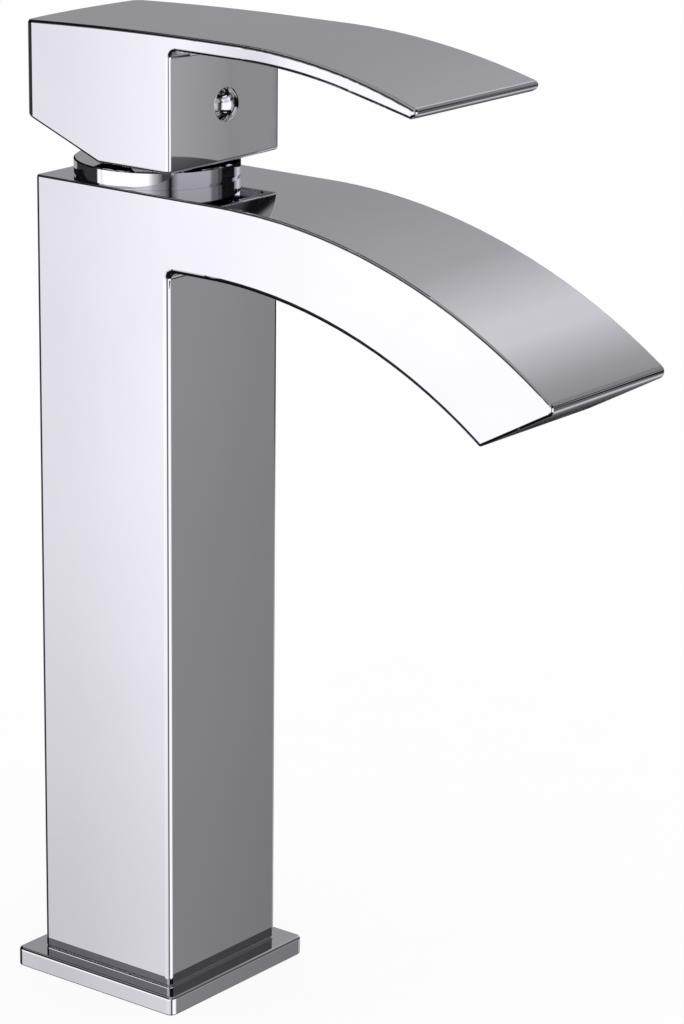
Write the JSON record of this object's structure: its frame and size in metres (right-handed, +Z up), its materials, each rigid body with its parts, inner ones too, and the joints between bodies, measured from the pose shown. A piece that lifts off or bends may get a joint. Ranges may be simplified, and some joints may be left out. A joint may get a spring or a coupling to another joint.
{
  "type": "basin mixer",
  "caption": "Tall square-section chrome basin mixer with a flat curved spout and a single flat lever on a block handle that lifts for flow and swings for temperature.",
  "frame": {"origin": "centre of the base's underside, on the deck", "axes": "+Z up, +X towards the spout's lip, -Y the hot side"},
  "size_m": [0.1911, 0.0626, 0.2934],
  "materials": {
    "chrome": "polished",
    "brass": "machined",
    "steel": "machined",
    "grey_plastic": "moulded",
    "black_plastic": "moulded",
    "white_plastic": "moulded",
    "red_plastic": "moulded",
    "ceramic": "lapped",
    "rubber": "matte"
  },
  "bodies": {
    "tap": {"tap_body": "chrome", "base_plate": "chrome", "deck_seal": "rubber", "base_screws": "steel", "inlet_block": "brass", "hot_riser": "brass", "cold_riser": "brass", "riser_seals": "rubber", "cartridge_housing": "grey_plastic", "cartridge_foot": "white_plastic", "seat_seals": "rubber", "disc_seals": "rubber", "fixed_disc": "ceramic", "limit_ring": "red_plastic", "lock_nut": "brass", "chamber_seal": "rubber", "bonnet": "chrome", "bonnet_seal": "rubber", "flow_straightener": "black_plastic"},
    "swivel": {"stem_rotor": "white_plastic", "rotor_seal": "rubber", "pivot_pin": "steel"},
    "disc": {"disc_carrier": "white_plastic", "moving_disc": "ceramic"},
    "lever": {"stem": "steel", "stem_bush": "white_plastic", "lever_handle": "chrome", "grub_screw": "steel", "screw_cap": "chrome"}
  },
  "joints": [
    {"name": "temperature_swing", "type": "hinge", "parent": "tap", "child": "swivel", "pos_m": [0, 0, 0.244], "axis": [0, 0, 1], "range_deg": [-45, 45]},
    {"name": "flow_lift", "type": "hinge", "parent": "swivel", "child": "lever", "pos_m": [0, 0, 0.244], "axis": [0, -1, 0], "range_deg": [0, 20]},
    {"name": "disc_slide", "type": "slide", "parent": "swivel", "child": "disc", "axis": [1, 0, 0], "range_m": [0, 0.00513]}
  ],
  "couplings": [
    {"joint": "disc_slide", "follows": "flow_lift", "m_per_rad": 0.014697}
  ]
}
